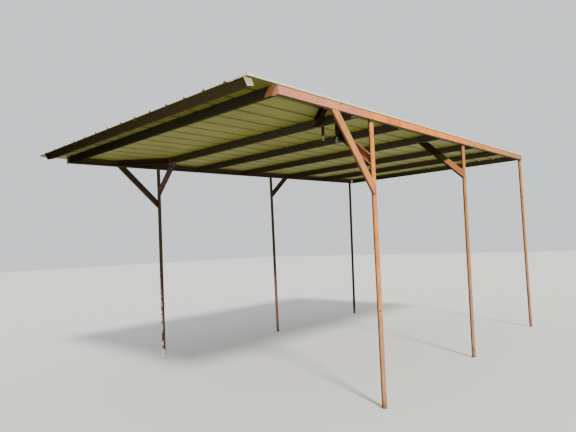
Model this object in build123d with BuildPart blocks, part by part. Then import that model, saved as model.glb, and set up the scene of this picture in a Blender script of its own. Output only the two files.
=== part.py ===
from build123d import *

import math
import os

# Steel carport: six pipe posts in two rows, a side beam over each row, seven purlins across, and
# ribbed sheets that fall towards the front. Millimetres; X across, Y to the back, Z up.

# Ribbed sheets
sheet_count = 5
ribs_per_sheet = 3
rib_spacing = 304.8
rib_height = 19.0
rib_foot_half = 25.4
rib_top_half = 9.5
sheet_gauge = 0.5
sheet_length = 8260.0
lap_leg_lift = 4.0
edge_crest = 12.5
edge_leg_inset = 5.0
edge_leg_drop = 12.0

# Roof plane
roof_fall = 2.12
deck_height_at_front_post = 3450.0

# Pressed channels: side beams, purlins and braces share one section
channel_depth = 101.6
channel_flange = 50.8
channel_wall = 2.0
channel_bend = 4.5
channel_lip = 16.0

# Frame: how far the sheets' edge ribs stand out past it, and stations up the slope from the front edge
right_overhang = 13.0
left_overhang = 124.0
purlin_stations = [382.0, 1782.0, 2853.0, 4068.0, 5508.0, 6856.0, sheet_length - 60.0]
fascia_station = 20.0
fascia_inset = 63.0
post_stations = {"front": 2036.0, "middle": 4898.0, "rear": sheet_length - 123.0}

# Posts
post_diameter = 60.3
post_wall = 2.1
weld_gap = 0.3

# The posts aren't quite true: how far a top and a foot stand behind their row, and the foot to the right
post_shifts = {
    "right_front": (0.0, 0.0, 0.0),
    "right_middle": (0.0, 0.0, -25.0),
    "right_rear": (0.0, 0.0, 0.0),
    "left_front": (-56.0, -10.0, 0.0),
    "left_middle": (15.0, 77.0, 0.0),
    "left_rear": (-35.0, -90.0, 0.0),
}

# Front fascia, a pressed trough: how far its corners lie behind and below its top front edge
fascia_top = 102.0
fascia_lean = 44.0
fascia_drop = 75.0
fascia_floor = 77.0
fascia_floor_rise = 16.0
fascia_lip = 14.0
fascia_wall = 1.6
end_plate_wall = 3.0

# Plates that close the beams' front ends
beam_plate_width = 72.0
beam_plate_height = 116.0

# Braces: drop of the foot below the beam, and reach along the beam or inwards along the purlin
row_brace_flange = 32.0
front_brace_drop = {"right": 854.0, "left": 648.0}
front_brace_reach = {"right": 746.0, "left": 704.0}
rear_brace_drop = 411.0
rear_brace_reach = 495.0
inner_brace_drop = {"right_front": 500.0, "right_middle": 511.0, "left_front": 425.0}
inner_brace_inset = {"right_middle": 338.0, "left_front": 735.0}
corner_brace_leg = 590.0

# Straps under the second purlin: one takes the right front post's inner brace, the other is spare
strap_wall = 6.0
hanger_inset = 360.0
hanger_height = 180.0
hanger_brace_drop = 98.0
spare_strap_inset = 560.0
spare_strap_height = 125.0

# Tapered concrete collar round one post's foot
footing_height = 180.0
footing_foot_radius = 64.0
footing_top_radius = 44.0

slope = math.radians(roof_fall)
roof_width = sheet_count * ribs_per_sheet * rib_spacing
post_radius = post_diameter / 2
crest_reach = math.sin(slope) * (rib_height + 2 * sheet_gauge)
edge_leg_back = math.sin(slope) * edge_leg_drop
front_edge_y = (crest_reach - edge_leg_back - sheet_length * math.cos(slope)) / 2
front_edge_z = deck_height_at_front_post - post_stations["front"] * math.sin(slope)
right_face = roof_width / 2 - right_overhang
left_face = left_overhang - roof_width / 2
right_inner = right_face - channel_flange
left_inner = left_face + channel_flange
post_x = {"right": right_face - channel_flange / 2, "left": left_face + channel_flange / 2}
fascia_right = right_face - fascia_inset
fascia_left = left_face + fascia_inset

along_roof = Vector(0, math.cos(slope), math.sin(slope))
off_roof = Vector(0, -math.sin(slope), math.cos(slope))


def on_roof(x, station, up=0.0):
    """A point by its place across, its distance up the slope and its height off the sheets' underside."""
    edge = Vector(x, front_edge_y, front_edge_z)
    return edge + along_roof * station + off_roof * up


def export(part, name):
    part.label = name
    export_step(part, f"parts/{name}.step")


def channel_profile(flange):
    """Lipped channel section about its middle, web on the -x side and open on the +x side."""
    RectangleRounded(flange, channel_depth, channel_bend)
    inner_bend = channel_bend - channel_wall
    inner_width = flange - 2 * channel_wall
    inner_depth = channel_depth - 2 * channel_wall
    RectangleRounded(inner_width, inner_depth, inner_bend, mode=Mode.SUBTRACT)
    with Locations((flange / 2, 0)):
        Rectangle(3 * channel_wall, channel_depth - 2 * channel_lip, mode=Mode.SUBTRACT)


def channel(start, end, open_towards, flange=channel_flange):
    """A straight channel between the middles of its two ends."""
    run = end - start
    with BuildPart() as member:
        with BuildSketch(Plane(origin=start, x_dir=open_towards, z_dir=run)):
            channel_profile(flange)
        extrude(amount=run.length)
    return member.part


def kept(part, origin, towards):
    """The piece of a part that lies past a plane, on the side that the vector points to."""
    return part.split(Plane(origin=origin, z_dir=towards), keep=Keep.TOP)


def post_top(side, row):
    """Where a post's middle line meets the underside of its side beam."""
    back = post_shifts[f"{side}_{row}"][0]
    return on_roof(post_x[side], post_stations[row] + back, -channel_depth)


def post_foot(side, row):
    """Where a post's middle line meets the ground."""
    back, right = post_shifts[f"{side}_{row}"][1:]
    level = on_roof(post_x[side], post_stations[row], -channel_depth)
    return Vector(level.X + right, level.Y + back, 0)


def post_point(side, row, drop):
    """The point of a post's middle line that far below its top."""
    top = post_top(side, row)
    return top + (post_foot(side, row) - top) * (drop / top.Z)


def post_bar(side, row, radius):
    """A round bar along a post's middle line, past both its ends."""
    foot = post_foot(side, row)
    run = post_top(side, row) - foot
    with BuildPart() as bar:
        with BuildSketch(Plane(origin=foot - run * 0.1, z_dir=run)):
            Circle(radius)
        extrude(amount=1.2 * run.length)
    return bar.part


def post_core(side, row):
    """The room that a post takes, for the ends of what is welded to it."""
    return post_bar(side, row, post_radius + weld_gap)


def post(side, row):
    """A pipe from the ground to the underside of the side beam, its top cut to the roof's fall."""
    pipe = post_bar(side, row, post_radius) - post_bar(side, row, post_radius - post_wall)
    pipe = kept(pipe, post_foot(side, row), Vector(0, 0, 1))
    return kept(pipe, post_top(side, row), -off_roof)


def side_beam(x, open_towards):
    start = on_roof(x, purlin_stations[0], -channel_depth / 2)
    end = on_roof(x, purlin_stations[-1] + channel_flange, -channel_depth / 2)
    return channel(start, end, open_towards)


def purlin(station):
    middle = station + channel_flange / 2
    start = on_roof(left_inner, middle, -channel_depth / 2)
    end = on_roof(right_inner, middle, -channel_depth / 2)
    return channel(start, end, along_roof)


def beam_end_plate(x):
    front = on_roof(x, purlin_stations[0], -channel_depth / 2)
    with BuildPart() as plate:
        with BuildSketch(Plane(origin=front, x_dir=(1, 0, 0), z_dir=-along_roof)):
            Rectangle(beam_plate_width, beam_plate_height)
        extrude(amount=end_plate_wall)
    return kept(plate.part, on_roof(x, 0), -off_roof)


def fascia_corners(inset):
    """The trough's outline, by distance behind and below its top front edge, moved inward by the wall."""
    web = math.hypot(fascia_lean, fascia_drop)
    floor = math.hypot(fascia_floor, fascia_floor_rise)
    web_angle = math.atan2(-fascia_drop, fascia_lean)
    floor_angle = math.atan2(fascia_floor_rise, fascia_floor)
    rear_angle = floor_angle + math.pi / 2
    lip = fascia_lip - inset
    top_front = (inset * (1 + math.cos(web_angle)) / -math.sin(web_angle), -inset)
    half_turn = (floor_angle - web_angle) / 2
    miter = inset / math.cos(half_turn)
    bisector = (web_angle + floor_angle) / 2 + math.pi / 2
    corner = (web * math.cos(web_angle), web * math.sin(web_angle))
    bottom_front = (corner[0] + miter * math.cos(bisector), corner[1] + miter * math.sin(bisector))
    heel = (corner[0] + floor * math.cos(floor_angle), corner[1] + floor * math.sin(floor_angle))
    bottom_back = (
        heel[0] - inset * math.cos(floor_angle) + inset * math.cos(rear_angle),
        heel[1] - inset * math.sin(floor_angle) + inset * math.sin(rear_angle),
    )
    lip_end = (bottom_back[0] + lip * math.cos(rear_angle), bottom_back[1] + lip * math.sin(rear_angle))
    top_back = (fascia_top - inset, -inset)
    top_lip_end = (fascia_top - inset, -fascia_lip)
    return [top_lip_end, top_back, top_front, bottom_front, bottom_back, lip_end]


def fascia_plane(x):
    """A plane across the roof: its x runs up the slope and its y off the roof."""
    return Plane(origin=on_roof(x, fascia_station), x_dir=along_roof, z_dir=(1, 0, 0))


def front_fascia():
    outline = fascia_corners(0.0) + fascia_corners(fascia_wall)[::-1]
    with BuildPart() as trough:
        with BuildSketch(fascia_plane(fascia_left + end_plate_wall)):
            Polygon(*outline, align=None)
        extrude(amount=fascia_right - fascia_left - 2 * end_plate_wall)
    return trough.part


def fascia_end_plate(x):
    corners = fascia_corners(0.0)[1:5]
    with BuildPart() as plate:
        with BuildSketch(fascia_plane(x)):
            Polygon(*corners, align=None)
        extrude(amount=end_plate_wall)
    return plate.part


def rib_points(centre, level):
    """The four corners of a rib from right to left, on a line that many sheet walls above the lowest."""
    angle = math.atan2(rib_height, rib_foot_half - rib_top_half)
    spread = level * sheet_gauge * math.tan(angle / 2)
    lift = level * sheet_gauge
    foot = rib_foot_half + spread
    top = rib_top_half + spread
    return [
        (centre + foot, lift),
        (centre + top, lift + rib_height),
        (centre - top, lift + rib_height),
        (centre - foot, lift),
    ]


def slope_point(centre, side, level, height):
    """The point at a height on a rib's right (+1) or left (-1) side, on the line of that level."""
    foot, top = rib_points(0.0, level)[:2]
    share = (height - foot[1]) / rib_height
    return (centre + side * (foot[0] + share * (top[0] - foot[0])), height)


def turned_edge(centre, side, level):
    """The roof's right (+1) or left (-1) edge, a half rib turned down, from its lowest point."""
    leg = centre + side * (level * sheet_gauge - edge_leg_inset)
    crest = edge_crest + level * sheet_gauge
    return [(leg, -edge_leg_drop), (leg, crest), slope_point(centre, -side, level, crest)]


def sheet_line(centres, level, first, last):
    """One face of a sheet from its right edge to its left, its first rib over its neighbour's last."""
    over = level if first else level + 1
    if first:
        line = turned_edge(centres[0], 1, level)
    else:
        lap_leg = slope_point(centres[0], 1, over, lap_leg_lift + level * sheet_gauge)
        line = [lap_leg] + rib_points(centres[0], over)[1:3]
    line.append(slope_point(centres[0], -1, over, level * sheet_gauge))
    for centre in centres[1:]:
        line += rib_points(centre, level)
    if last:
        line = line[:-3] + turned_edge(centres[-1], -1, level)[::-1]
    return line


def roof_sheet(number):
    """A ribbed sheet up the whole slope; it laps over the last rib of the sheet to its right."""
    right = roof_width / 2 - number * ribs_per_sheet * rib_spacing
    centres = [right - rib * rib_spacing for rib in range(ribs_per_sheet + 1)]
    first = number == 0
    last = number == sheet_count - 1
    outline = sheet_line(centres, 0, first, last) + sheet_line(centres, 1, first, last)[::-1]
    with BuildPart() as sheet:
        with BuildSketch(Plane(origin=on_roof(0, 0), x_dir=(1, 0, 0), z_dir=-along_roof)):
            Polygon(*outline, align=None)
        extrude(amount=-sheet_length)
    return sheet.part


def row_brace(side, row, drop, reach):
    """A brace from a post to the underside of the side beam, its web in the frame's outer face."""
    inward = Vector(-1 if side == "right" else 1, 0, 0)
    outward = inward * ((row_brace_flange - channel_flange) / 2)
    head = post_top(side, row) + along_roof * reach + outward
    start = post_point(side, row, drop) + outward
    beyond = (head - start) * 0.2
    brace = channel(start - beyond, head + beyond, inward, row_brace_flange)
    brace = kept(brace, head, -off_roof)
    brace = kept(brace, start, Vector(0, math.copysign(1, reach), 0))
    return brace - post_core(side, row)


def purlin_underside(side, inset, number):
    """The middle of a purlin's underside, that far in from the frame's right or left face."""
    x = right_face - inset if side == "right" else left_face + inset
    return on_roof(x, purlin_stations[number - 1] + channel_flange / 2, -channel_depth)


def across_run(run):
    """The level direction square to a run, towards the back."""
    sideways = run.cross(Vector(0, 0, 1)).normalized()
    return sideways if sideways.Y > 0 else -sideways


def inner_brace(side, row, purlin_number):
    """A brace from a post inward to the underside of a purlin, its web to the front."""
    head = purlin_underside(side, inner_brace_inset[f"{side}_{row}"], purlin_number)
    start = post_point(side, row, inner_brace_drop[f"{side}_{row}"])
    run = head - start
    beyond = run * 0.4
    brace = channel(start - beyond, head + beyond, across_run(run))
    brace = kept(brace, head, -off_roof)
    brace = kept(brace, start, Vector(run.X, run.Y, 0))
    return brace - post_core(side, row)


def strap(inset, height):
    """A flat strap that hangs from the underside of the second purlin, its face across the roof."""
    top = purlin_underside("right", inset, 2)
    bottom = top - Vector(0, 0, height)
    with BuildPart() as bar:
        with BuildSketch(Plane(origin=bottom, z_dir=(0, 0, 1))):
            Rectangle(strap_wall, channel_flange, align=(Align.MAX, Align.CENTER))
        extrude(amount=height + channel_flange)
    return kept(bar.part, top, -off_roof)


def hung_brace():
    """The right front post's inner brace, open to the front, its end cut upright against its strap."""
    end = purlin_underside("right", hanger_inset, 2) - Vector(0, 0, hanger_brace_drop)
    start = post_point("right", "front", inner_brace_drop["right_front"])
    run = end - start
    beyond = run * 0.4
    brace = channel(start - beyond, end + beyond, -across_run(run))
    brace = kept(brace, end, Vector(1, 0, 0))
    brace = kept(brace, start, Vector(run.X, run.Y, 0))
    return brace - post_core("right", "front")


def corner_brace(side):
    """A level brace across the corner of a side beam and the second purlin, in the roof's depth."""
    outward = 1 if side == "right" else -1
    inner = right_inner if side == "right" else left_inner
    station = purlin_stations[1]
    purlin_end = on_roof(inner - outward * corner_brace_leg, station, -channel_depth / 2)
    beam_end = on_roof(inner, station - corner_brace_leg, -channel_depth / 2)
    run = beam_end - purlin_end
    beyond = run * 0.2
    open_towards = off_roof.cross(run).normalized()
    if open_towards.Y > 0:
        open_towards = -open_towards
    brace = channel(purlin_end - beyond, beam_end + beyond, open_towards)
    brace = kept(brace, purlin_end, -along_roof)
    return kept(brace, beam_end, Vector(-outward, 0, 0))


def footing_collar(side, row):
    """A tapered collar of concrete round a post's foot."""
    foot = post_foot(side, row)
    with BuildPart() as collar:
        with BuildSketch(Plane(origin=foot)):
            Circle(footing_foot_radius)
        with BuildSketch(Plane(origin=foot + Vector(0, 0, footing_height))):
            Circle(footing_top_radius)
        loft()
    return collar.part - post_core(side, row)


os.makedirs("parts", exist_ok=True)

for side in post_x:
    for row in post_stations:
        export(post(side, row), f"post_{side}_{row}")

export(side_beam(post_x["right"], Vector(-1, 0, 0)), "side_beam_right")
export(side_beam(post_x["left"], Vector(1, 0, 0)), "side_beam_left")
for side in post_x:
    export(beam_end_plate(post_x[side]), f"beam_end_plate_{side}")

for number, station in enumerate(purlin_stations, 1):
    export(purlin(station), f"purlin_{number}")

export(front_fascia(), "front_fascia")
export(fascia_end_plate(fascia_right - end_plate_wall), "fascia_end_plate_right")
export(fascia_end_plate(fascia_left), "fascia_end_plate_left")

for number in range(sheet_count):
    export(roof_sheet(number), f"roof_sheet_{number + 1}")

for side in post_x:
    export(row_brace(side, "front", front_brace_drop[side], -front_brace_reach[side]), f"front_brace_{side}")
export(row_brace("left", "middle", rear_brace_drop, rear_brace_reach), "rear_brace_left")
export(hung_brace(), "inner_brace_right_front")
export(inner_brace("right", "middle", 4), "inner_brace_right_middle")
export(inner_brace("left", "front", 2), "inner_brace_left_front")
export(strap(hanger_inset, hanger_height), "brace_strap")
export(strap(spare_strap_inset, spare_strap_height), "spare_strap")
for side in post_x:
    export(corner_brace(side), f"corner_brace_{side}")

export(footing_collar("left", "front"), "footing_left_front")
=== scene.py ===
# %% [markdown]
# # A steel carport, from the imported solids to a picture
# The carport is a welded frame of pipe posts and pressed channels under five ribbed sheets. Its solids come
# from the CAD model and stay where they are. This lesson gives them their finishes, adds the small work that
# a welder and a roofer leave behind, and sets up the view.

import bpy
import numpy as np
from mathutils import Matrix, Vector


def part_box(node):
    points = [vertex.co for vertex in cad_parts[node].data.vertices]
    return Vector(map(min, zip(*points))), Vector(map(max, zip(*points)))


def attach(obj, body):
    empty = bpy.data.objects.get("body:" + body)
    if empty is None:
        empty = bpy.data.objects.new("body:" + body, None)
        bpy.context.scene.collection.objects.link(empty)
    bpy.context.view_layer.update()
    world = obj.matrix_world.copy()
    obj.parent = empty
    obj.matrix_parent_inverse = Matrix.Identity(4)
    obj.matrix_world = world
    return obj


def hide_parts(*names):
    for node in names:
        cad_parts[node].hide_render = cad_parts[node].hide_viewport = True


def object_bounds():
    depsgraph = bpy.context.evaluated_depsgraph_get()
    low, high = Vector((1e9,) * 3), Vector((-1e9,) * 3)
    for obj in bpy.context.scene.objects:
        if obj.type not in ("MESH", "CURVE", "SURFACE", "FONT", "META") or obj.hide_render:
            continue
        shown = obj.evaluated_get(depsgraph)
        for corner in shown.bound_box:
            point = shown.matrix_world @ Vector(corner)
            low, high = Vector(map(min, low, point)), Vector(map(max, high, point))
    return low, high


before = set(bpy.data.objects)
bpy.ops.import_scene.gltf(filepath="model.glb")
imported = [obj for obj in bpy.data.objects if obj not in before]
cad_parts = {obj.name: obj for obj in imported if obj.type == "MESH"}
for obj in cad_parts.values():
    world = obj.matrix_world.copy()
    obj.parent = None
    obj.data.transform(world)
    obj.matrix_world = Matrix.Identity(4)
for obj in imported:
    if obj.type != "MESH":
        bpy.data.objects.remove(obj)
cad_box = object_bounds()
scene = bpy.context.scene
print(len(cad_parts), "solids in a box of", [round(v, 3) for v in cad_box[1] - cad_box[0]], "m")

# %% [markdown]
# ## The camera
# The picture was taken from in front of the right corner, at eye height. Three turns and a place were
# fitted to the frame's long edges, so they are typed here as plain numbers rather than found by hand.

# %% Place the camera
yaw, pitch, roll = 0.7234, 0.0649, -0.0374
eye_place = (5.098, -6.860, 1.884)
focal_pixels, picture_width = 466.716, 576.0
forward = Vector((-np.sin(yaw) * np.cos(pitch), np.cos(yaw) * np.cos(pitch), np.sin(pitch)))
sideways = Vector((np.cos(yaw), np.sin(yaw), 0.0))
upward = sideways.cross(forward)
rolled_side = np.cos(roll) * sideways + np.sin(roll) * upward
rolled_up = -np.sin(roll) * sideways + np.cos(roll) * upward
turn = Matrix((rolled_side, rolled_up, -forward)).transposed()
lens = bpy.data.cameras.new("camera")
lens.sensor_width = 36.0
lens.lens = lens.sensor_width * focal_pixels / picture_width
eye = bpy.data.objects.new("camera", lens)
eye.matrix_world = Matrix.Translation(eye_place) @ turn.to_4x4()
scene.collection.objects.link(eye)
scene.camera = eye
print("camera with a", round(lens.lens, 1), "mm lens")

# %% [markdown]
# ## Nodes in few words
# A procedural finish is a net of small nodes. Making each one takes several lines in Blender's own calls, so
# one helper adds a node, sets its plain settings, and fills each socket with a value or a link. The others
# are short names for the few steps that all the finishes here are made of.

# %% A helper for nodes
def add(tree, kind, sockets=None, **settings):
    """Adds one node. Each socket gets a number or colour, or a link from another node's output."""
    made = tree.nodes.new(kind)
    for key, value in settings.items():
        setattr(made, key, value)
    for socket, value in (sockets or {}).items():
        if isinstance(value, bpy.types.NodeSocket):
            tree.links.new(value, made.inputs[socket])
        else:
            made.inputs[socket].default_value = value
    return made


print("one helper adds every node")

# %% Places and arithmetic
def here(tree):
    """The point's place in the object's own coordinates, in metres."""
    return add(tree, "ShaderNodeTexCoord").outputs["Object"]


def axis_of(tree, number):
    """That place's x, y or z, for a number of 0, 1 or 2."""
    return add(tree, "ShaderNodeSeparateXYZ", {0: here(tree)}).outputs[number]


def maths(tree, operation, *values):
    """One step of arithmetic on numbers and links."""
    return add(tree, "ShaderNodeMath", dict(enumerate(values)), operation=operation).outputs[0]


def times(tree, a, b):
    """The product, which is 1 only where both are."""
    return maths(tree, "MULTIPLY", a, b)


def most(tree, a, b):
    """The larger of two, which is 1 where either is."""
    return maths(tree, "MAXIMUM", a, b)


def ramp(tree, value, low, high):
    """0 where the value is at low, 1 at high, and a smooth step between them."""
    sockets = {"Value": value, "From Min": low, "From Max": high}
    return add(tree, "ShaderNodeMapRange", sockets, interpolation_type="SMOOTHSTEP").outputs[0]


def spread(tree, value, low, high):
    """Low where the value is 0, high where it is 1, and straight between them."""
    return add(tree, "ShaderNodeMapRange", {"Value": value, "To Min": low, "To Max": high}).outputs[0]


print("helpers for places and arithmetic are ready")

# %% Patterns and places on the surface
def noise(tree, size, detail=4.0, stretch=(1.0, 1.0, 1.0), seed=0.0):
    """Fractal noise from 0 to 1 with features of that size in metres, longer along an axis whose stretch is
    over 1. Another seed looks at the same noise from another place."""
    scale = tuple(1.0 / s for s in stretch)
    shift = (seed, 0.37 * seed, 0.61 * seed)
    moved = add(tree, "ShaderNodeMapping", {"Vector": here(tree), "Location": shift, "Scale": scale})
    sockets = {"Vector": moved.outputs[0], "Scale": 1.0 / size, "Detail": detail}
    return add(tree, "ShaderNodeTexNoise", sockets).outputs[0]


def facing(tree, direction, low, high):
    """1 on faces turned towards a direction, 0 on those turned away, by the dot product with their normal."""
    normal = add(tree, "ShaderNodeNewGeometry").outputs["Normal"]
    sockets = {0: normal, 1: Vector(direction).normalized()}
    turned = add(tree, "ShaderNodeVectorMath", sockets, operation="DOT_PRODUCT").outputs["Value"]
    return ramp(tree, turned, low, high)


def height(tree, low, high):
    """0 at the first height above the ground and 1 at the second."""
    return ramp(tree, axis_of(tree, 2), low, high)


def near(tree, points, reach):
    """1 round any of the points, falling to 0 at the reach: the largest of one soft ball for each point."""
    total = 0.0
    for point in points:
        sockets = {0: here(tree), 1: point}
        away = add(tree, "ShaderNodeVectorMath", sockets, operation="DISTANCE").outputs["Value"]
        total = most(tree, total, ramp(tree, away, reach, 0.55 * reach))
    return total


print("helpers for patterns are ready")

# %% Colours and shaders
def opaque(colour):
    """A colour of three numbers gets its fourth. A link stays as it is."""
    return colour if isinstance(colour, bpy.types.NodeSocket) else (*colour, 1.0)


def blend(tree, share, a, b):
    """Colour a where the share is 0, colour b where it is 1."""
    sockets = {0: share, 6: opaque(a), 7: opaque(b)}
    return add(tree, "ShaderNodeMix", sockets, data_type="RGBA").outputs[2]


def tinted(tree, colour, by):
    """The colour times another, channel by channel."""
    sockets = {0: 1.0, 6: opaque(colour), 7: opaque(by)}
    return add(tree, "ShaderNodeMix", sockets, data_type="RGBA", blend_type="MULTIPLY").outputs[2]


def finish_of(name, **even):
    """A new material: its node tree and its shader, with the sockets that are the same all over."""
    material = bpy.data.materials.new(name)
    material.use_nodes = True
    shader = material.node_tree.nodes["Principled BSDF"]
    for socket, value in even.items():
        shader.inputs[socket].default_value = value
    return material, material.node_tree, shader


def connect(tree, shader, colour, roughness, relief, depth):
    """Wires a colour, a roughness and a relief whose depth is in metres into the shader."""
    tree.links.new(colour, shader.inputs["Base Color"])
    tree.links.new(roughness, shader.inputs["Roughness"])
    bump = add(tree, "ShaderNodeBump", {"Height": relief, "Distance": depth, "Strength": 1.0})
    tree.links.new(bump.outputs[0], shader.inputs["Normal"])


print("helpers for colours are ready")

# %% [markdown]
# ## Places that the paint knows about
# The paint is darkened at the tops of the right posts, just under their beam: a painted shadow of the beam.
# So the finish needs to know those three places. They are read from the solids' boxes.

# %% Where the beam's shadow is painted on the posts
def top_of(node):
    """The middle of a node's box as seen from above, 10 mm over its top."""
    low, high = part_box(node)
    return Vector(((low.x + high.x) / 2, (low.y + high.y) / 2, high.z + 0.01))


# Round these points the paint is darkened: the beam's shadow on the post tops, painted.
post_top_shade = [top_of(f"post_right_{row}") for row in ("front", "middle", "rear")]
print("burnt paint at", [tuple(round(v, 2) for v in place) for place in post_top_shade])

# %% [markdown]
# ## Brown paint that has stood in the sun, with painted sunlight and shade
# The frame was brushed with one brown primer. Where the sun falls on it, on the outer and upper sides, the
# binder has chalked and the colour has gone to a dusty salmon. The finish mixes that salmon and a nearly
# black
# brown by the way each face is turned: the salmon is partly that fading and partly painted sunlight, the
# black brown partly the paint and partly painted shade, and a slanted edge paints the roof's shadow. Over
# both it lays rust, painted shade at the post tops under their beam, scratches down to an old pale coat, and
# mud near the ground. A painted texture could show the same, but it would have to be unwrapped onto some
# thirty members;
# noise in the object's own coordinates needs none.

# %% Painted sunlight and shade on brown paint
# Faces turned this way get the lit salmon, partly the paint's fading and partly painted sunlight; faces
# turned away get the deep brown, partly painted shade.
bleached_towards = (0.93, -0.30, 0.20)
# Faces turned to the rear and left get this brown in place of the painted shade.
turned_rearward = (-0.6, 0.8, 0.0)
rearward_brown = (0.17, 0.085, 0.045)
left_end, right_end = -2.6, 2.4
beam_height = 3.36
shadow_lean = 0.85


def painted_sunlight(tree, low, high, roof_shadow_x):
    """1 on faces turned to the sun, which get the painted sunlight. Where x less 0.85 z falls short of an
    edge it is
    0: the roof's shadow, painted.
    """
    lit_share = facing(tree, bleached_towards, low, high)
    if roof_shadow_x is None:
        return lit_share
    # Short of a slanted edge the roof's shadow is painted, and the light share drops to 0.
    slant = maths(tree, "MULTIPLY_ADD", axis_of(tree, 2), -shadow_lean, axis_of(tree, 0))
    edge = roof_shadow_x - shadow_lean * beam_height
    return times(tree, lit_share, ramp(tree, slant, edge - 0.02, edge + 0.02))


def bleached_coat(tree, colour, lit_share, cloudy, lower, low_coat, changes):
    """The lit salmon, partly fading and partly painted sunlight, with another one low down, others towards
    the rear past a wavy border, where y plus 1.5 times the clouds grows, and soft pinker patches."""
    if low_coat is not None:
        colour = blend(tree, lower, colour, low_coat)
    wavy = maths(tree, "MULTIPLY_ADD", cloudy, 1.5, axis_of(tree, 1))
    middle_of_waves = 0.75
    for start, end, further in changes:
        share = ramp(tree, wavy, start + middle_of_waves, end + middle_of_waves)
        colour = blend(tree, share, colour, further)
    patches = ramp(tree, noise(tree, 0.22, 5.0, seed=51.0), 0.44, 0.60)
    return blend(tree, times(tree, patches, lit_share), colour, tinted(tree, colour, (0.86, 0.80, 1.15)))


def brushed_coat(tree, bleached_and_lit, deep, lit_share, cloudy, brushed, left_painted_shade):
    """The lit salmon, chalked in patches, where the light share is 1, and the deep brown, partly the paint
    and partly painted shade, where it is 0, with brush marks and runs over both.
    """
    # Towards the left end the deep colour grows darker: painted shade.
    if left_painted_shade is not None:
        deep = blend(tree, ramp(tree, axis_of(tree, 0), left_end, right_end), left_painted_shade, deep)
    deep = blend(tree, facing(tree, turned_rearward, 0.1, 0.5), deep, rearward_brown)
    shaded = tinted(tree, deep, (0.55, 0.55, 0.55))
    dull = tinted(tree, bleached_and_lit, (0.62, 0.56, 0.54))
    chalk = times(tree, lit_share, ramp(tree, cloudy, 0.15, 0.5))
    old = blend(tree, chalk, blend(tree, lit_share, deep, dull), bleached_and_lit)
    marks = times(tree, ramp(tree, brushed, 0.62, 0.36), 0.7)
    uneven = blend(tree, marks, old, blend(tree, lit_share, shaded, dull))
    runs = ramp(tree, noise(tree, 0.045, stretch=(1.0, 1.0, 9.0), seed=7.7), 0.55, 0.75)
    return blend(tree, times(tree, runs, 0.45), uneven, blend(tree, lit_share, deep, bleached_and_lit))


print("the shade's edge leans by", shadow_lean, "m for each metre of height")

# %% Rust, painted shade at the post tops, and mud
pale_grey = (0.56, 0.49, 0.43)
rust_dark, rust_light = (0.055, 0.020, 0.010), (0.26, 0.085, 0.028)
# The dark brown of the beam's shadow painted on the post tops, and how far it reaches.
shaded_top_brown = (0.034, 0.019, 0.013)
dried_mud = (0.20, 0.155, 0.10)
post_top_shade_reach = 0.08


def rust_on(tree, rust_from, cloudy, ragged):
    """1 in broad patches, at the foot, and in pits where the clouds are thick: the largest of the three."""
    patches = ramp(tree, noise(tree, 0.11, 8.0, seed=11.0), rust_from, rust_from + 0.06)
    foot = times(tree, height(tree, 0.26, 0.03), ramp(tree, ragged, 0.38, 0.56))
    pits = ramp(tree, noise(tree, 0.010, 6.0, seed=5.0), 0.62, 0.68)
    return most(tree, most(tree, patches, foot), times(tree, pits, ramp(tree, cloudy, 0.45, 0.65)))


def brown_paint(name, bleached_and_lit, deep, rust_from, low=-0.05, high=0.55, shine=0.15, low_coat=None,
                pale_side=None, roof_shadow_x=None, welds=(), changes=(), left_painted_shade=None):
    """Rust shows where its noise is over rust_from, and low and high are the dot products between which a
    face turns to the painted sunlight. low_coat is the lit colour below about 1.2 m, pale_side a direction on
    which that part turns a pale grey, welds are places round which the paint is darkened as a painted shadow,
    and roof_shadow_x is an x at beam height short of which the roof's shadow is painted. changes lists the
    lit colours towards the rear, each from one y to another, and left_painted_shade is the deep colour at the
    left end of a member that runs across, painted shade."""
    material, tree, shader = finish_of(name, **{"IOR": 1.45, "Specular IOR Level": shine})
    cloudy = noise(tree, 0.35, 6.0)
    brushed = noise(tree, 0.012, 5.0, seed=3.1)
    ragged = noise(tree, 0.06, 7.0, seed=41.0)
    lower = ramp(tree, maths(tree, "ADD", axis_of(tree, 2), ragged), 2.0, 1.35)
    lit_share = painted_sunlight(tree, low, high, roof_shadow_x)
    bleached_and_lit = bleached_coat(tree, bleached_and_lit, lit_share, cloudy, lower, low_coat, changes)
    coat = brushed_coat(tree, bleached_and_lit, deep, lit_share, cloudy, brushed, left_painted_shade)
    # Low down, faces turned the given way take a pale grey in ragged patches.
    if pale_side is not None:
        bare = times(tree, facing(tree, pale_side, 0.2, 0.55), lower)
        coat = blend(tree, times(tree, bare, ramp(tree, ragged, 0.44, 0.52)), coat, pale_grey)
    rusty = rust_on(tree, rust_from, cloudy, ragged)
    grain = noise(tree, 0.006, seed=2.0)
    worn = blend(tree, times(tree, rusty, 0.85), coat, blend(tree, grain, rust_dark, rust_light))
    # Darker round the post tops: a painted shadow of the beam.
    if welds:
        shaded_top = times(tree, near(tree, welds, post_top_shade_reach), ramp(tree, ragged, 0.15, 0.35))
        worn = blend(tree, shaded_top, worn, shaded_top_brown)
    flecks = times(tree, ramp(tree, noise(tree, 0.016, 7.0, seed=19.0), 0.675, 0.70), lit_share)
    flecked = blend(tree, flecks, worn, tinted(tree, bleached_and_lit, (1.15, 1.70, 3.50)))
    splash = times(tree, ramp(tree, noise(tree, 0.05, 5.0, seed=23.0), 0.40, 0.65), height(tree, 0.22, 0.01))
    muddy = blend(tree, splash, flecked, dried_mud)
    rough = spread(tree, brushed, 0.52, 0.78)
    matt = add(tree, "ShaderNodeMix", {0: most(tree, rusty, splash), 2: rough, 3: 0.90}).outputs[0]
    relief = maths(tree, "ADD", brushed, times(tree, rusty, grain))
    connect(tree, shader, muddy, matt, relief, 0.0012)
    return material


print("brown paint rusts from", rust_dark, "to", rust_light)

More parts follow.
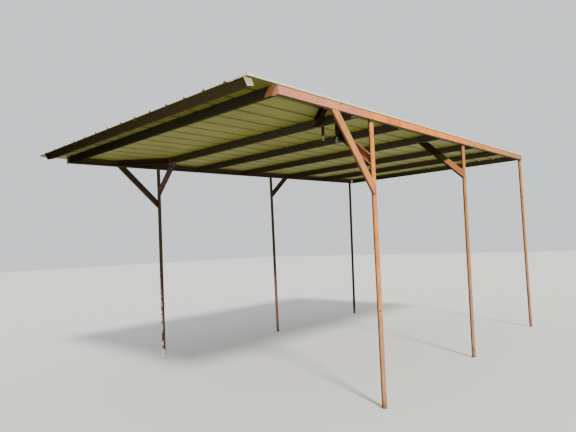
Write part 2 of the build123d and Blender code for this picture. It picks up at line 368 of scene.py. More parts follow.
# %% [markdown]
# One paint does not look the same on every member: on the ones that run across, shade is painted darker
# towards the left, the right beam's colour changes from front to rear, and the lower part of each right post
# is duller. So each kind of member gets the same finish with its own two colours.

# %% Brown paints on the right side
# Each paint's first colour is the lit salmon, partly fading and partly painted sunlight; its second is the
# deep brown, partly painted shade.
beam_brown = (0.040, 0.022, 0.010)
post_brown = (0.040, 0.024, 0.010)
beam_changes = [(-2.7, -2.1, (0.86, 0.272, 0.046)), (0.5, 1.4, (0.62, 0.264, 0.062)),
                (2.1, 3.4, (0.46, 0.218, 0.055))]
beam_paint = brown_paint("brown_paint_beam", (0.66, 0.284, 0.118), beam_brown, 0.67, changes=beam_changes)
end_plate_paint = brown_paint("brown_paint_end_plate", (0.50, 0.250, 0.085), beam_brown, 0.70, low=-0.6,
                              high=0.1)
front_brace_paint = brown_paint("brown_paint_front_brace", (0.57, 0.240, 0.068), beam_brown, 0.66)
near_post_paint = brown_paint("brown_paint_near_post", (0.70, 0.280, 0.056), post_brown, 0.66,
                              low_coat=(0.50, 0.252, 0.100), welds=post_top_shade)
# The far posts get darker colours than the near one: painted shade.
far_post_paint = brown_paint("brown_paint_far_posts", (0.49, 0.222, 0.055), post_brown, 0.66,
                             low_coat=(0.39, 0.220, 0.110), welds=post_top_shade)
# The inner braces are dark short of their slanted edge: the roof's shadow, painted on them.
inner_brace_paint = brown_paint("brown_paint_inner_braces", (0.33, 0.132, 0.045), (0.020, 0.0125, 0.0050),
                                0.70, shine=0.0, roof_shadow_x=2.29)
print("six brown paints for the right side")

# %% Brown paints with painted shade
# These nearly black browns are painted shade, for the left row of posts, beams and braces.
left_brown, left_black = (0.060, 0.038, 0.018), (0.012, 0.009, 0.004)
# Below about 1.2 m the left posts get a lighter brown: painted sunlight under the roof's edge.
shade_paint = brown_paint("brown_paint_in_shade", left_brown, left_black, 0.66, low=-0.5,
                          low_coat=(0.36, 0.19, 0.115))
# The left front post takes a pale grey low down on its side turned to the front and left.
pale_sided_paint = brown_paint("brown_paint_pale_sided", left_brown, left_black, 0.62, low=-0.5,
                           low_coat=(0.08, 0.050, 0.028), pale_side=(-0.30, -0.95, 0.0))
# Members under the roof get a nearly black brown all round: painted shade.
roof_paint = brown_paint("brown_paint_under_roof", (0.038, 0.025, 0.012), (0.012, 0.0095, 0.0045), 0.72,
                         shine=0.0)
# The purlins' beige shows only at their right ends, past the roof's painted shadow: painted sunlight.
purlin_paint = brown_paint("brown_paint_purlins", (0.42, 0.310, 0.210), (0.050, 0.044, 0.027), 0.72, low=0.1,
                           high=0.3, shine=0.0, roof_shadow_x=2.16, left_painted_shade=(0.028, 0.024, 0.0110))
# The front purlin's right end gets a salmon patch past the same edge: painted sunlight.
front_purlin_paint = brown_paint("brown_paint_front_purlin", (0.44, 0.185, 0.070), (0.034, 0.032, 0.0170),
                                 0.72, low=0.1, high=0.3, shine=0.0, roof_shadow_x=2.16,
                                 left_painted_shade=(0.009, 0.0085, 0.0030))
# The fascia is dark brown, darker towards its left end: painted shade.
fascia_paint = brown_paint("brown_paint_fascia", (0.30, 0.165, 0.110), (0.045, 0.036, 0.0150), 0.66, low=0.25,
                           high=0.95, shine=0.0, left_painted_shade=(0.0065, 0.0070, 0.0040))
print("six brown paints for the left side and the roof")

# %% [markdown]
# ## Baked cream paint on the sheets
# A roof sheet is painted in the factory: cream outside, and a thinner olive-beige coat on the back. Rain
# draws dirt down the slope, so the outside has streaks that are 26 times as long as they are wide.
# Underneath, condensation leaves soft dull clouds and a little rust. One material does both sides, told
# apart by whether the face looks up or down.

# %% The cream side
rib_spacing = 0.3048
roof_half = 7.5 * rib_spacing
screw_offset = 0.047
edge_highlight = (2.255, 2.266)
front_y = cad_box[0].y


def beside_rib(tree, offset, half):
    """1 on a line that far beside each rib, 0 at the half width: the size of x modulo the spacing, less its
    middle."""
    shifted = maths(tree, "ADD", axis_of(tree, 0), roof_half - offset + rib_spacing / 2)
    within = maths(tree, "FLOORED_MODULO", shifted, rib_spacing)
    away = maths(tree, "ABSOLUTE", maths(tree, "SUBTRACT", within, rib_spacing / 2))
    return ramp(tree, away, half, 0.3 * half)


def cream_side(tree, streaks, cloudy):
    """Streaks and clouds of dirt on cream, dust along the ribs, rust along the screws, a painted highlight
    along the outer edges, and specks over all of it."""
    coat = blend(tree, ramp(tree, streaks, 0.36, 0.70), (0.80, 0.72, 0.49), (0.46, 0.40, 0.26))
    coat = blend(tree, times(tree, ramp(tree, cloudy, 0.46, 0.66), 0.55), coat, (0.34, 0.29, 0.18))
    coat = blend(tree, times(tree, beside_rib(tree, 0.030, 0.022), 0.55), coat, (0.20, 0.17, 0.11))
    drips = ramp(tree, noise(tree, 0.05, 6.0, stretch=(1.0, 14.0, 1.0), seed=13.0), 0.52, 0.66)
    screw_rust = times(tree, beside_rib(tree, screw_offset, 0.016), drips)
    coat = blend(tree, times(tree, screw_rust, 0.6), coat, (0.36, 0.17, 0.08))
    # Near-white along the outer edges: a painted highlight.
    side = maths(tree, "ABSOLUTE", axis_of(tree, 0))
    coat = blend(tree, ramp(tree, side, *edge_highlight), coat, (1.0, 1.0, 0.84))
    specks = ramp(tree, noise(tree, 0.018, 8.0, seed=31.0), 0.68, 0.71)
    return blend(tree, specks, coat, (0.22, 0.10, 0.045))


print("sheets from", round(-roof_half, 3), "to", round(roof_half, 3), "m across")

# %% The olive side, and both as one finish
def olive_side(tree, streaks, cloudy):
    """Clouds, streaks and stains on olive, with painted shade along the ribs and the front strip, and a
    painted glint on the rib ends.
    """
    coat = blend(tree, ramp(tree, cloudy, 0.3, 0.7), (0.176, 0.170, 0.0150), (0.140, 0.135, 0.0120))
    coat = blend(tree, times(tree, ramp(tree, streaks, 0.45, 0.8), 0.5), coat, (0.112, 0.108, 0.0100))
    # Darker along the ribs: painted shade in their hollows.
    coat = blend(tree, times(tree, beside_rib(tree, 0.0, 0.040), 0.36), coat, (0.062, 0.058, 0.013))
    stains = ramp(tree, noise(tree, 0.09, 8.0, seed=37.0), 0.68, 0.74)
    coat = blend(tree, times(tree, stains, 0.5), coat, (0.09, 0.060, 0.018))
    y = axis_of(tree, 1)
    # Darker along the front strip behind the fascia: painted shade.
    front_strip_shade = ramp(tree, y, front_y + 0.40, front_y + 0.30)
    coat = blend(tree, times(tree, front_strip_shade, 0.4), coat, (0.020, 0.019, 0.004))
    # Lighter at the rib ends along the front edge: a painted glint.
    rib_end_glint = times(tree, beside_rib(tree, 0.0, 0.032), ramp(tree, y, front_y + 0.07, front_y + 0.04))
    return blend(tree, rib_end_glint, coat, (0.30, 0.29, 0.23))


def sheet_paint(name):
    """The cream side on faces that look up and the olive side on the others, with one gloss and relief."""
    material, tree, shader = finish_of(name, **{"IOR": 1.47, "Specular IOR Level": 0.22})
    streaks = noise(tree, 0.028, 5.0, stretch=(1.0, 26.0, 1.0), seed=4.0)
    cloudy = noise(tree, 0.7, 6.0, seed=9.0)
    looks_up = facing(tree, (0.0, 0.0, 1.0), -0.2, 0.2)
    colour = blend(tree, looks_up, olive_side(tree, streaks, cloudy), cream_side(tree, streaks, cloudy))
    relief = maths(tree, "ADD", noise(tree, 0.004, 3.0, seed=1.0), streaks)
    connect(tree, shader, colour, spread(tree, streaks, 0.42, 0.70), relief, 0.0005)
    return material


cream_sheet = sheet_paint("cream_sheet_paint")
print("sheet paint with a cream face and an olive back")

# %% [markdown]
# ## Pale plates, concrete, screws and welds
# The fascia's end plates were never given the brown coat, so they keep a pinkish white primer. The collar at
# one post's foot is hand-placed concrete. Screws are zinc plated and their washers have gone dull. Weld beads
# are brown paint over rough metal, with rust where the paint missed them.

# %% Small finishes
def speckled(name, light, dark, size, roughness, depth, spots=(0.2, 0.09, 0.04), spots_from=0.66,
             metallic=0.0):
    """Two colours mixed by noise of one size, with spots of a third where a much finer noise is high."""
    material, tree, shader = finish_of(name, **{"Metallic": metallic})
    broad = noise(tree, size, 8.0, seed=2.5)
    fine = noise(tree, size * 0.12, 6.0, seed=8.5)
    colour = blend(tree, ramp(tree, broad, 0.3, 0.7), dark, light)
    colour = blend(tree, ramp(tree, fine, spots_from, spots_from + 0.07), colour, spots)
    relief = maths(tree, "ADD", broad, times(tree, fine, 0.35))
    connect(tree, shader, colour, spread(tree, fine, roughness - 0.1, roughness + 0.1), relief, depth)
    return material


pale_plate = speckled("pale_primer_plate", (1.0, 0.90, 0.71), (0.95, 0.81, 0.61), size=0.05, roughness=0.62,
                      depth=0.0008, spots_from=0.70)
collar_concrete = speckled("collar_concrete", (0.62, 0.60, 0.55), (0.36, 0.345, 0.30), size=0.06,
                           roughness=0.85, depth=0.006, spots=(0.20, 0.18, 0.15), spots_from=0.6)
zinc = speckled("screw_zinc", (0.62, 0.62, 0.60), (0.40, 0.40, 0.38), size=0.01, roughness=0.45,
                depth=0.0002, spots=(0.26, 0.12, 0.06), spots_from=0.62, metallic=0.85)
rubber = speckled("washer_rubber", (0.07, 0.07, 0.065), (0.04, 0.04, 0.038), size=0.01, roughness=0.75,
                  depth=0.0002, spots=(0.15, 0.14, 0.12))
bead_paint = speckled("weld_bead_paint", (0.20, 0.11, 0.075), (0.075, 0.038, 0.024), size=0.02,
                      roughness=0.66, depth=0.0008, spots=(0.30, 0.11, 0.04), spots_from=0.58)
pale_hook = speckled("hook_coating", (0.42, 0.41, 0.32), (0.28, 0.27, 0.20), size=0.012, roughness=0.5,
                     depth=0.0003, spots=(0.30, 0.20, 0.12))
print("six small finishes")

# %% [markdown]
# ## Finishes onto the solids
# Each CAD solid keeps its mesh and only changes its material. Its triangles are loose, so a Weld modifier
# joins them and an Edge Split modifier keeps the corners sharp; with that, the pipes shade as round ones. A
# table of how the nodes' names start says which finish each one gets, and the first line that fits counts.

# %% Dress the solids
def dress(solid, material):
    """Puts the material in the solid's first slot and smooths its faces up to corners of 28 degrees."""
    if solid.material_slots:
        solid.material_slots[0].material = material
    else:
        solid.data.materials.append(material)
    solid.data.polygons.foreach_set("use_smooth", np.ones(len(solid.data.polygons), bool))
    joined = solid.modifiers.new("joined", "WELD")
    joined.merge_threshold = 0.00002
    corners = solid.modifiers.new("corners", "EDGE_SPLIT")
    corners.split_angle = np.radians(28.0)


finishes = [
    ("roof_sheet", cream_sheet), ("fascia_end_plate", pale_plate), ("footing", collar_concrete),
    ("front_fascia", fascia_paint), ("purlin_1", front_purlin_paint), ("purlin", purlin_paint),
    ("corner_brace", roof_paint), ("brace_strap", roof_paint), ("spare_strap", roof_paint),
    ("post_left_front", pale_sided_paint), ("post_left_rear", roof_paint), ("side_beam_right", beam_paint),
    ("beam_end_plate_right", end_plate_paint), ("front_brace_right", front_brace_paint),
    ("post_right_front", near_post_paint), ("post_right", far_post_paint),
    ("inner_brace_right", inner_brace_paint), ("", shade_paint)]
for node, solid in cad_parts.items():
    dress(solid, next(material for start, material in finishes if node.startswith(start)))
print("dressed", len(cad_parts), "solids")

# %% [markdown]
# ## A place on the roof
# Screws and welds are set out as a roofer would: across the roof, up the slope, and above or below the deck.
# One function turns such a place into a point. It takes whole arrays, so a row of screws is one call.

# %% Points on the roof
fall = np.radians(2.12)
channel_depth, channel_flange = 0.1016, 0.0508
front_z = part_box("roof_sheet_3")[0].z


def on_roof(x, station, up):
    """Front edge, plus the station along the slope, plus the height square to it."""
    x, station, up = np.broadcast_arrays(np.asarray(x, float), station, up)
    y = front_y + station * np.cos(fall) - up * np.sin(fall)
    z = front_z + station * np.sin(fall) + up * np.cos(fall)
    return np.stack([x, y, z], axis=-1)


across = np.array([1.0, 0.0, 0.0])
along = np.array([0.0, np.cos(fall), np.sin(fall)])
off = np.array([0.0, -np.sin(fall), np.cos(fall)])
purlins = [f"purlin_{number}" for number in range(1, 8)]
purlin_stations = np.array([(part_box(name)[0].y - front_y) / np.cos(fall) for name in purlins])
print("purlins at", np.round(purlin_stations, 3), "m up the slope")

# %% [markdown]
# ## Arrays into meshes
# A shape that is worked out as an array of points needs only its faces listed. A grid of points closes into a
# tube when its last column joins its first. Copies of a small shape are one broadcast sum, not a loop.

# %% Mesh helpers
def tube_faces(rows, columns):
    """Four corners of each cell in a grid of points whose last column joins its first."""
    row, column = np.meshgrid(np.arange(rows - 1), np.arange(columns), indexing="ij")
    beside = (column + 1) % columns
    low, high = row * columns, (row + 1) * columns
    return np.stack([low + column, low + beside, high + beside, high + column], axis=-1).reshape(-1, 4)


def piece(name, points, faces, material, slot):
    """Makes one mesh object from an array of points and a list of faces, and lets it ride on the frame."""
    mesh = bpy.data.meshes.new(name)
    mesh.from_pydata(np.asarray(points).reshape(-1, 3), [], [list(map(int, face)) for face in faces])
    mesh.polygons.foreach_set("use_smooth", np.ones(len(mesh.polygons), bool))
    mesh.materials.append(material)
    mesh.update()
    made = bpy.data.objects.new(name, mesh)
    scene.collection.objects.link(made)
    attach(made, "root")
    print(name, "has", len(mesh.polygons), "faces")
    return made


def copies(points, faces, places, side, front, up):
    """The same small shape at every place, its x, y and z along the three given directions."""
    turned = points[:, :1] * side + points[:, 1:2] * front + points[:, 2:] * up
    every = places[:, None, :] + turned[None, :, :]
    shift = np.arange(len(places))[:, None, None] * len(points)
    return every.reshape(-1, 3), (faces[None] + shift).reshape(-1, faces.shape[1])


print("mesh helpers are ready")

# %% [markdown]
# ## Roofing screws
# Each sheet is held by hexagon-headed screws with a rubber washer, driven through the flat beside a rib into
# the purlin under it. The head is a profile turned round its axis, where the radius of the hexagon part
# follows the hexagon's own polar formula. A cylinder would do from far off, but a hexagon catches the
# light.

# %% Screws through the flats
def turned_rings(rings):
    """Rings of twelve points; a ring's radius is r, or on the hexagon r over the cosine of the angle from the
    middle of the nearest flat."""
    angle = np.arange(12) * np.pi / 6
    hexagon = 1.0 / np.cos((angle + np.pi / 6) % (np.pi / 3) - np.pi / 6)
    points = []
    for radius, level, flat_sided in rings:
        reach = radius * (hexagon if flat_sided else np.ones(12))
        points.append(np.stack([reach * np.cos(angle), reach * np.sin(angle), np.full(12, level)], axis=-1))
    return np.concatenate(points), tube_faces(len(rings), 12)


rib_count, sheet_top = 16, 0.0006
screw_head = turned_rings([(0.0063, 0.0018, False), (0.0062, 0.0026, False), (0.0043, 0.0028, True),
                           (0.0043, 0.0066, True), (0.0034, 0.0073, True), (0.0003, 0.0074, False)])
washer = turned_rings([(0.0074, -0.0002, False), (0.0082, 0.0007, False), (0.0078, 0.0017, False),
                       (0.0060, 0.0019, False), (0.0003, 0.0019, False)])
ribs = roof_half - rib_spacing * np.arange(rib_count)
flat_side = np.where(np.arange(rib_count) == 0, -1.0, 1.0)
rng = np.random.default_rng(7)
screw_x = np.tile(ribs + flat_side * screw_offset, len(purlins))
screw_station = np.repeat(purlin_stations + channel_flange / 2, rib_count)
screw_x = screw_x + rng.normal(0, 0.003, screw_x.size)
screw_station = screw_station + rng.normal(0, 0.005, screw_station.size)
seats = on_roof(screw_x, screw_station, sheet_top)
piece("roofing_screws", *copies(*screw_head, seats, across, along, off), zinc, "cream_sheet")
piece("screw_washers", *copies(*washer, seats, across, along, off), rubber, "cream_sheet")

# %% [markdown]
# Where one sheet laps over the next, a short stitch screw goes through the top of the rib every 0.6 m. The
# height of the rib's top is read from the sheets' own corner points, so the heads sit on the metal.

# %% Stitch screws on the laps
def corner_points(node):
    """A solid's corner points as rows of x, y and z."""
    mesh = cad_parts[node].data
    flat = np.zeros(len(mesh.vertices) * 3, np.float32)
    mesh.vertices.foreach_get("co", flat)
    return flat.reshape(-1, 3).astype(float)


def crest(x):
    """The largest height off the deck, by dot product, among the sheets' points within 12 mm of an x."""
    points = np.concatenate([corner_points(f"roof_sheet_{number}") for number in range(1, 6)])
    levels = (points - on_roof(0.0, 0.0, 0.0)) @ off
    return levels[np.abs(points[:, 0] - x) < 0.012].max()


ribs_on_sheet, stitch_scale = 3, 0.8
laps = roof_half - rib_spacing * ribs_on_sheet * np.arange(1, 5)
stitch_rows = np.arange(0.35, 8.0, 0.6)
stitch_x, stitch_station = [grid.ravel() for grid in np.meshgrid(laps, stitch_rows, indexing="ij")]
lap_top = np.repeat([crest(x) for x in laps], stitch_rows.size)
stitch_x = stitch_x + rng.normal(0, 0.0015, stitch_x.size)
stitch_station = stitch_station + rng.normal(0, 0.012, stitch_x.size)
stitch_seats = on_roof(stitch_x, stitch_station, lap_top)
for name, ring, material in (("stitch_screws", screw_head, zinc), ("stitch_washers", washer, rubber)):
    small = ring[0] * stitch_scale
    piece(name, *copies(small, ring[1], stitch_seats, across, along, off), material, "cream_sheet")
print("the laps' ribs stand", round(float(lap_top[0]) * 1000, 1), "mm off the deck")

# %% [markdown]
# Under the purlins' upper flanges the same screws come out as drilling points. They are hidden from the front
# and show from behind, where the channels are open.

# %% Screw points below
def drill_point():
    """Rings of eight points below the flange, whose radius goes in and out like a thread and narrows to the
    tip."""
    angle = np.arange(8) * np.pi / 4
    rings = [(0.0024, -0.0015), (0.0028, -0.004), (0.0022, -0.005), (0.0028, -0.0075), (0.0022, -0.0085),
             (0.0028, -0.011), (0.0022, -0.012), (0.0022, -0.016), (0.0003, -0.019)]
    points = [np.stack([r * np.cos(angle), r * np.sin(angle), np.full(8, z)], axis=-1) for r, z in rings]
    return np.concatenate(points), tube_faces(len(rings), 8)[:, ::-1]


left_flange, right_flange = -2.10, 2.21
between_beams = (screw_x > left_flange) & (screw_x < right_flange)
ends = on_roof(screw_x[between_beams], screw_station[between_beams], 0.0)
piece("screw_points", *copies(*drill_point(), ends, across, along, off), zinc, "brown_paint")

# %% [markdown]
# ## Weld beads
# Every member ends in a cut that is welded all round. Most cuts are flat, and a brace's foot is hollowed to
# fit round its post. The bead follows the outline of the cut, so the outline is read off the member itself:
# its corner points that lie on the cut, in order as seen along the member. A channel is open on one side, so
# its bead starts and stops at the lips.

# %% Points on a cut
pipe_radius, weld_gap = 0.03015, 0.0003
on_the_cut, on_the_saddle = 0.0004, 0.0005
under_beam = on_roof(0.0, 2.0, -channel_depth)


def on_plane(node, origin, normal):
    """The corner points whose distance from the plane, by dot product, is next to nothing."""
    points = corner_points(node)
    return points[np.abs((points - origin) @ normal) < on_the_cut]


def post_ends(post):
    """The middle of a post's ring of points at the ground and of the one under the beam."""
    foot = on_plane(post, np.zeros(3), np.array([0.0, 0.0, 1.0]))
    top = on_plane(post, under_beam, off)
    return (foot.min(axis=0) + foot.max(axis=0)) / 2, (top.min(axis=0) + top.max(axis=0)) / 2


def on_post(node, post):
    """The corner points whose distance from a post's middle line is the pipe's radius and the small gap."""
    foot, top = post_ends(post)
    line = (top - foot) / np.linalg.norm(top - foot)
    points = corner_points(node)
    arm = points - foot
    away = np.linalg.norm(arm - (arm @ line)[:, None] * line, axis=1)
    return points[np.abs(away - pipe_radius - weld_gap) < on_the_saddle]


lean = np.subtract(*post_ends("post_left_front"))[:2] * 1000
print("the left front post leans by", np.round(lean), "mm from foot to top")

# %% Outlines in order
shortest_open_side = 0.05


def in_order(found, seen_along):
    """The outermost point in each of 120 directions. At a side with only the lips' ends on it, which lie in
    its first or last third, the line is left open."""
    normal = seen_along / np.linalg.norm(seen_along)
    first = np.cross(normal, [0.31, 0.52, 0.79])
    first /= np.linalg.norm(first)
    flat = (found - found.mean(axis=0)) @ np.stack([first, np.cross(normal, first)], axis=-1)
    angle = np.linspace(0, 2 * np.pi, 120, endpoint=False)
    order = (flat @ np.stack([np.cos(angle), np.sin(angle)])).argmax(axis=0)
    order = order[order != np.roll(order, 1)]
    for number in range(len(order)):
        start, end = flat[order[number]], flat[order[(number + 1) % len(order)]]
        run = end - start
        length = np.linalg.norm(run)
        share = (flat - start) @ run / length**2
        on_side = np.abs((flat - start) @ np.array([-run[1], run[0]])) / length < on_the_cut
        lips = on_side & (((share > 0.05) & (share < 0.3)) | ((share > 0.7) & (share < 0.95)))
        middle = on_side & (share >= 0.3) & (share <= 0.7)
        if length > shortest_open_side and lips.any() and not middle.any():
            far_lips, near_lips = lips & (share > 0.5), lips & (share < 0.5)
            far_lip = found[far_lips][share[far_lips].argmin()]
            near_lip = found[near_lips][share[near_lips].argmax()]
            return np.concatenate([[far_lip], found[np.roll(order, -(number + 1))], [near_lip]]), False
    return found[order], True


outline = in_order(on_plane("post_right_front", under_beam, off), off)[0]
print("a post's bead goes round", len(outline), "points")

# %% [markdown]
# The bead itself is a small round carried along that outline. Its radius rises slowly and drops quickly with
# each ripple of the weld pool, and wanders a little, as a hand does.

# %% Beads along outlines
bead_step, ripple_length, bead_sides = 0.003, 0.0075, 7


def bead(path, closed, radius, seed):
    """A round of points at every step of the path; radius times 0.9 plus a sawtooth of the way travelled,
    with a tooth for each ripple. An open bead is drawn to a point at both ends."""
    if closed:
        path = np.concatenate([path, path[:1]])
    travel = np.concatenate([[0.0], np.cumsum(np.linalg.norm(np.diff(path, axis=0), axis=1))])
    count = max(int(travel[-1] / bead_step), 6)
    at = np.linspace(0, travel[-1], count)
    line = np.stack([np.interp(at, travel, path[:, k]) for k in range(3)], axis=-1)
    tangent = np.gradient(line, axis=0)
    tangent /= np.linalg.norm(tangent, axis=1)[:, None] + 1e-12
    guide = np.cross(path[1] - path[0], path[len(path) // 2] - path[0])
    guide /= np.linalg.norm(guide) + 1e-12
    beside = np.cross(tangent, guide)
    beside /= np.linalg.norm(beside, axis=1)[:, None] + 1e-12
    hand = np.random.default_rng(seed)
    ripple = (at / ripple_length + 0.3 * hand.standard_normal(count)) % 1.0
    swell = radius * (0.9 + 0.28 * ripple + 0.10 * hand.standard_normal(count))
    if not closed:
        swell[[0, -1]] = 0.0002
    angle = np.arange(bead_sides) * 2 * np.pi / bead_sides
    ring = np.cos(angle)[None, :, None] * beside[:, None] + np.sin(angle)[None, :, None] * guide
    return line[:, None] + swell[:, None, None] * ring


def beads(name, cuts, radius, highest=1.0):
    """All the beads of one kind as one piece, each kept where it is lower than a height off the deck."""
    points, faces, shift = [], [], 0
    for number, (found, seen_along) in enumerate(cuts):
        path, closed = in_order(found, seen_along)
        low = (path - on_roof(0.0, 0.0, 0.0)) @ off < highest
        if not low.all():
            start = int(np.argmax(low & ~np.roll(low, 1)))
            path = np.roll(path, -start, axis=0)[np.roll(low, -start)]
            closed = False
        tube = bead(path, closed, radius, number)
        points.append(tube.reshape(-1, 3))
        faces.append(tube_faces(len(tube), bead_sides) + shift)
        shift += len(tube) * bead_sides
    return piece(name, np.concatenate(points), np.concatenate(faces), bead_paint, "brown_paint")


print("bead helpers are ready")

# %% [markdown]
# The beads of one kind share a size, so each kind becomes one piece. Beads against the beams' inner sides
# stay 6 mm below the deck, where the sheets lie.

# %% Weld every member
below_deck = -0.006
right_inner = np.array([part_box("side_beam_right")[0].x, 0.0, 0.0])
left_inner = np.array([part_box("side_beam_left")[1].x, 0.0, 0.0])
posts = [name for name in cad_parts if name.startswith("post_")]
beads("post_welds", [(on_plane(name, under_beam, off), off) for name in posts], radius=0.0042)

both_inner = (right_inner, left_inner)
purlin_cuts = [(on_plane(name, side, across), across) for name in purlins for side in both_inner]
beads("purlin_welds", purlin_cuts, radius=0.0036, highest=below_deck)

heads = ["front_brace_right", "front_brace_left", "rear_brace_left", "inner_brace_left_front",
         "inner_brace_right_middle", "brace_strap", "spare_strap"]
beads("brace_head_welds", [(on_plane(name, under_beam, off), off) for name in heads], radius=0.0038)
strap_face = np.array([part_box("brace_strap")[1].x, 0.0, 0.0])
beads("strap_weld", [(on_plane("inner_brace_right_front", strap_face, across), across)], radius=0.0036)

feet = {"front_brace_right": "post_right_front", "front_brace_left": "post_left_front",
        "rear_brace_left": "post_left_middle", "inner_brace_right_front": "post_right_front",
        "inner_brace_right_middle": "post_right_middle", "inner_brace_left_front": "post_left_front"}
saddles = []
for brace, post in feet.items():
    found = on_post(brace, post)
    saddles.append((found, corner_points(brace).mean(axis=0) - found.mean(axis=0)))
beads("brace_foot_welds", saddles, radius=0.0040)

purlin_face = on_roof(0.0, purlin_stations[1], 0.0)
corners = []
for brace, inner in zip(("corner_brace_right", "corner_brace_left"), both_inner):
    corners.append((on_plane(brace, inner, across), across))
    corners.append((on_plane(brace, purlin_face, along), along))
beads("corner_brace_welds", corners, radius=0.0036, highest=below_deck)
front_cut = on_roof(0.0, purlin_stations[0], 0.0)
beam_ends = [(on_plane(f"side_beam_{side}", front_cut, along), along) for side in ("right", "left")]
beads("end_plate_welds", beam_ends, radius=0.0032, highest=below_deck)

# %% [markdown]
# ## Hooks under the straps
# A pale S hook hangs through each of the two straps behind the front brace. An S hook is one rod bent into
# two loops, so its middle line is two arcs with a straight between them, and the rod is a round carried
# along it.

# %% S hooks
def s_hook(shank=0.022, upper=0.008, lower=0.014, rod=0.0036):
    """Upper arc from 200 degrees over its top to -90, a straight down, then the lower arc from 90 to 385."""
    first = np.radians(np.linspace(200, -90, 18))
    second = np.radians(np.linspace(90, 385, 24))
    top_arc = np.stack([upper * np.cos(first), upper * np.sin(first) - upper], axis=-1)
    low_middle = -2 * upper - shank - lower
    low_arc = np.stack([lower * np.cos(second), lower * np.sin(second) + low_middle], axis=-1)
    line = np.concatenate([top_arc, low_arc])
    middle = np.stack([line[:, 0], np.zeros(len(line)), line[:, 1]], axis=-1)
    tangent = np.gradient(middle, axis=0)
    tangent /= np.linalg.norm(tangent, axis=1)[:, None]
    square = np.array([0.0, 1.0, 0.0])
    beside = np.cross(tangent, square)
    angle = np.arange(8) * np.pi / 4
    thick = np.full(len(line), rod)
    thick[[0, -1]] = 0.0004
    ring = np.cos(angle)[None, :, None] * beside[:, None] + np.sin(angle)[None, :, None] * square
    return (middle[:, None] + thick[:, None, None] * ring).reshape(-1, 3), tube_faces(len(line), 8)


strap_hole = 0.014
hangs = []
for strap in ("brace_strap", "spare_strap"):
    low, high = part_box(strap)
    hangs.append([(low.x + high.x) / 2, (low.y + high.y) / 2, low.z + strap_hole])
piece("hanging_hooks", *copies(*s_hook(), np.array(hangs), *np.eye(3)), pale_hook, "pale_primer")

# %% [markdown]
# ## The bent edge at the front corner
# Between the roof's front right corner and the first rib, the edge of the sheet has been knocked down into a
# small lip that catches the light. It is one strip: a depth that grows from nothing at the rib to its full
# size at the corner, with a shallow wave, and a slope that keeps its lower edge flush with the sheet's end.

# %% The bent lip
def bent_lip(length=0.290, deepest=0.011, leaning=0.35, thick=0.0006):
    """Depth is a smooth rise from 0 over the first fifth, times two slow waves, and y leans by a share of
    it. The front five rows of points and the back five close into a tube."""
    share = np.linspace(0, 1, 40)
    rise = np.clip(share / 0.2, 0, 1)
    waves = 1 + 0.10 * np.sin(9 * share) + 0.06 * np.sin(23 * share)
    depth = deepest * rise * rise * (3 - 2 * rise) * waves
    x = roof_half - 0.300 + share * length
    flush = leaning * deepest * (1.2 - 0.04)
    parts = np.linspace(0, 1, 5)
    front = np.stack([on_roof(x, flush - leaning * depth * p, -0.0003 - depth * p) for p in parts])
    loop = np.concatenate([front, front[::-1] + along * thick])
    return loop.transpose(1, 0, 2), tube_faces(len(share), len(loop))[:, ::-1]


piece("bent_front_lip", *bent_lip(), cream_sheet, "cream_sheet")

# %% [markdown]
# ## The concrete collar
# One post stands in a collar that was heaped round it by hand and trowelled once. The solid is a plain cone.
# The new piece turns a profile round the post and pushes each point in or out by a few slow waves and some
# grit.

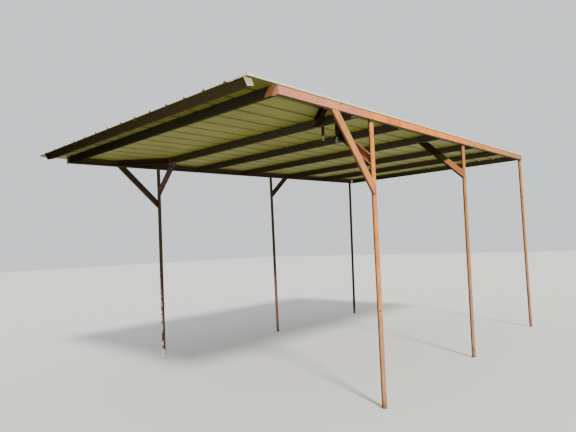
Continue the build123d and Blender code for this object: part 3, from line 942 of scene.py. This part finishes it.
# %% The hand-placed collar
def heaped_collar(node, around=72, pipe_side=0.027):
    """Radius along the profile times 1 plus three sine waves of the angle and height and a little random
    grit. The last ring lies inside the pipe."""
    low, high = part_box(node)
    middle = np.array([(low.x + high.x) / 2, (low.y + high.y) / 2])
    widest, tall = (high.x - low.x) / 2, high.z
    share = np.array([0, 0.04, 0.12, 0.22, 0.34, 0.46, 0.58, 0.70, 0.80, 0.88, 0.94, 0.98, 1.0, 0.985, 0.97])
    radius = np.array([1.0, 0.99, 0.94, 0.86, 0.80, 0.765, 0.74, 0.72, 0.70, 0.68, 0.65, 0.61, 0.56, 0.50,
                       0.44])
    share, radius = share[:, None], radius[:, None] * widest
    angle = np.linspace(0, 2 * np.pi, around, endpoint=False)
    grit = np.random.default_rng(12).normal(0, 0.006, (share.size, around))
    waves = 0.055 * np.sin(2 * angle + 0.6 + 3.0 * share) + 0.035 * np.sin(5 * angle + 1.9 - 5.0 * share)
    waves = waves + 0.02 * np.sin(9 * angle + 7.0 * share) + grit - 0.09
    reach = radius * (1 + waves * np.clip(1.4 - share, 0.4, 1.0))
    reach[-1] = pipe_side
    level = tall * share * (1 - 0.05 * (1 + np.sin(angle + 2.2)) * share)
    points = np.stack([middle[0] + reach * np.cos(angle), middle[1] + reach * np.sin(angle), level], axis=-1)
    return points, tube_faces(share.size, around)


collar = piece("heaped_collar", *heaped_collar("footing_left_front"), collar_concrete, "concrete")
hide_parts("footing_left_front")

# %% [markdown]
# ## Floor and light
# A plain pale floor and a large soft sun from the right and the front, high up, with an even pale sky. The
# sky fills the shade under the roof, and the floor throws light up at the sheets' backs.

# %% Floor, sun and sky
def pale_floor(half=60):
    """A square of four points on the ground."""
    points = np.array([[-half, -half, 0], [half, -half, 0], [half, half, 0], [-half, half, 0]], float)
    mesh = bpy.data.meshes.new("floor")
    mesh.from_pydata(points, [], [[0, 1, 2, 3]])
    floor = bpy.data.objects.new("floor", mesh)
    scene.collection.objects.link(floor)
    even = {"Roughness": 0.9, "Base Color": (0.62, 0.62, 0.60, 1.0)}
    mesh.materials.append(finish_of("floor_pale", **even)[0])
    return floor


pale_floor()
from_sun = Vector((0.80, -0.42, 0.74))
sun = bpy.data.lights.new("sun", "SUN")
sun.energy = 5.6
sun.angle = np.radians(9.0)
sun.color = (1.0, 0.955, 0.87)
lamp = bpy.data.objects.new("sun", sun)
lamp.matrix_world = from_sun.to_track_quat("Z", "Y").to_matrix().to_4x4()
scene.collection.objects.link(lamp)
sky = bpy.data.worlds.new("sky")
sky.use_nodes = True
glow = sky.node_tree.nodes["Background"]
glow.inputs["Color"].default_value = (0.94, 0.97, 1.0, 1.0)
glow.inputs["Strength"].default_value = 1.0
scene.world = sky
print("floor, sun and sky are set")
